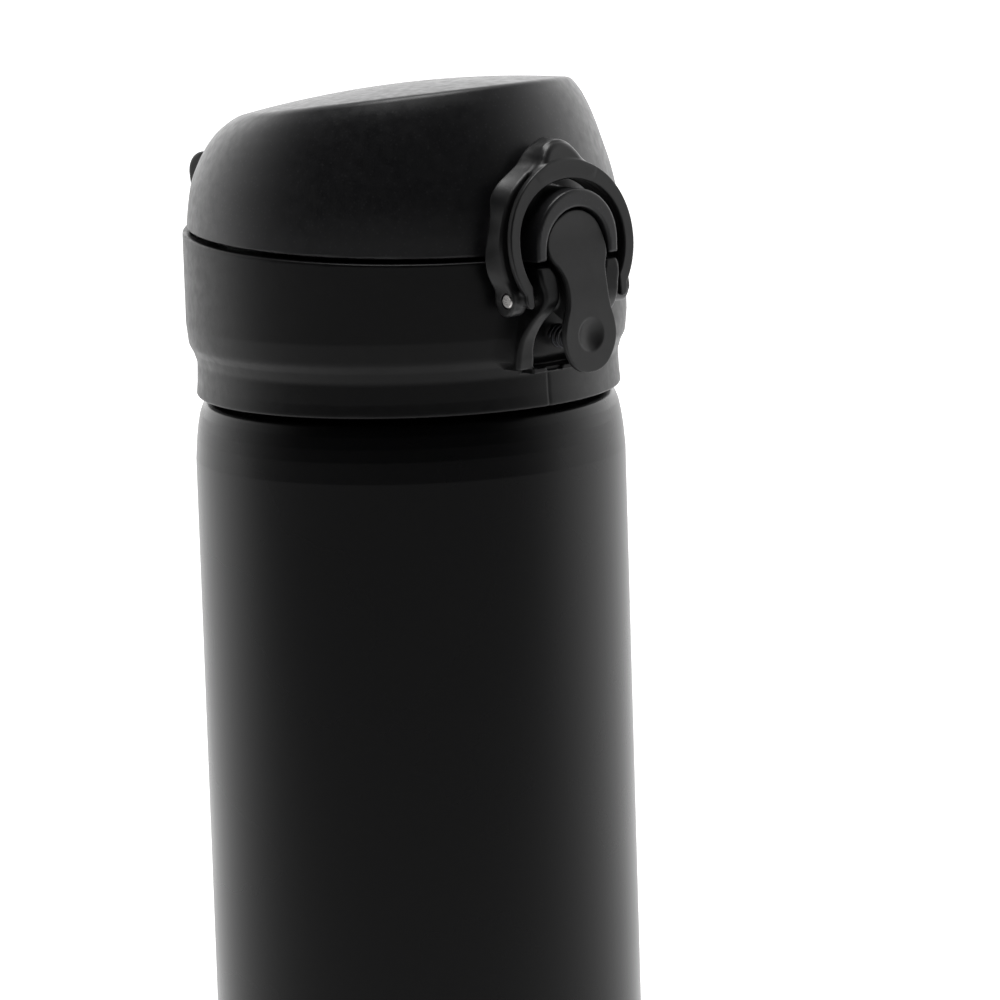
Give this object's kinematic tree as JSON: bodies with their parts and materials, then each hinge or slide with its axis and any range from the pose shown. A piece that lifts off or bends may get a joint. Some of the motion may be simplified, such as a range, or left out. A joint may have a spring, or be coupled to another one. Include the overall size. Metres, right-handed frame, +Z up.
{
  "type": "vacuum flask",
  "caption": "Slim black double-walled steel vacuum flask with a screw-on cap, a one-touch flip lid on a rear hinge, a front latch lever and a swing-up lock ring.",
  "frame": {"origin": "centre of the base pad's underside, on the surface the flask stands on", "axes": "+Z up the bottle's axis, -Y towards the latch at the front, +Y towards the lid hinge"},
  "size_m": [0.0654, 0.0789, 0.2206],
  "materials": {
    "body_paint": "smooth satin black paint",
    "bottle_steel": "electropolished inside, fine turned lines",
    "foil": "bright copper foil",
    "solder": "dull grey",
    "pad_rubber": "matte",
    "silicone": "translucent grey silicone",
    "inner_plastic": "smooth moulded",
    "collar_plastic": "fine-grained moulded",
    "lid_plastic": "fine speckled matte",
    "latch_plastic": "moulded satin, rubbed smooth at the thumb tab",
    "pin_steel": "plain drawn pin",
    "spring_steel": "drawn wire"
  },
  "bodies": {
    "flask": {"outer_shell": "body_paint", "inner_bottle": "bottle_steel", "radiation_foil": "foil", "base_plate": "bottle_steel", "vacuum_seal_bead": "solder", "getter_pellet": "solder", "base_pad": "pad_rubber"},
    "cap_seal": {"mouth_gasket": "silicone"},
    "cap": {"threaded_sleeve": "inner_plastic", "drinking_spout": "inner_plastic", "spout_gasket": "silicone", "collar": "collar_plastic", "hinge_pin": "pin_steel", "lid_spring": "spring_steel", "latch_pin": "pin_steel", "latch_spring": "spring_steel"},
    "lid": {"lid_shell": "lid_plastic", "lid_liner": "inner_plastic", "stopper_seal": "silicone"},
    "lever": {"latch_lever": "latch_plastic"},
    "ring": {"lock_ring": "latch_plastic"}
  },
  "joints": [
    {"name": "cap_rise", "type": "slide", "parent": "flask", "child": "cap_seal", "axis": [0, 0, 1], "range_m": [0, 0.026]},
    {"name": "cap_unscrew", "type": "hinge", "parent": "cap_seal", "child": "cap", "pos_m": [0, 0, 0.1897], "axis": [0, 0, 1], "range_deg": [0, 2334]},
    {"name": "lid_hinge", "type": "hinge", "parent": "cap", "child": "lid", "pos_m": [0, 0.035, 0.2045], "axis": [-1, 0, 0], "range_deg": [0, 150], "deforming": ["lid_spring"]},
    {"name": "latch_press", "type": "hinge", "parent": "cap", "child": "lever", "pos_m": [0, -0.0353, 0.1907], "axis": [1, 0, 0], "range_deg": [0, 10], "stiffness_Nm_per_rad": 0.35, "deforming": ["latch_spring"]},
    {"name": "lock_ring_pivot", "type": "hinge", "parent": "cap", "child": "ring", "pos_m": [0, -0.0353, 0.1907], "axis": [1, 0, 0], "range_deg": [0, 100]}
  ],
  "couplings": [
    {"joint": "cap_rise", "follows": "cap_unscrew", "m_per_rad": 0.00063662}
  ]
}
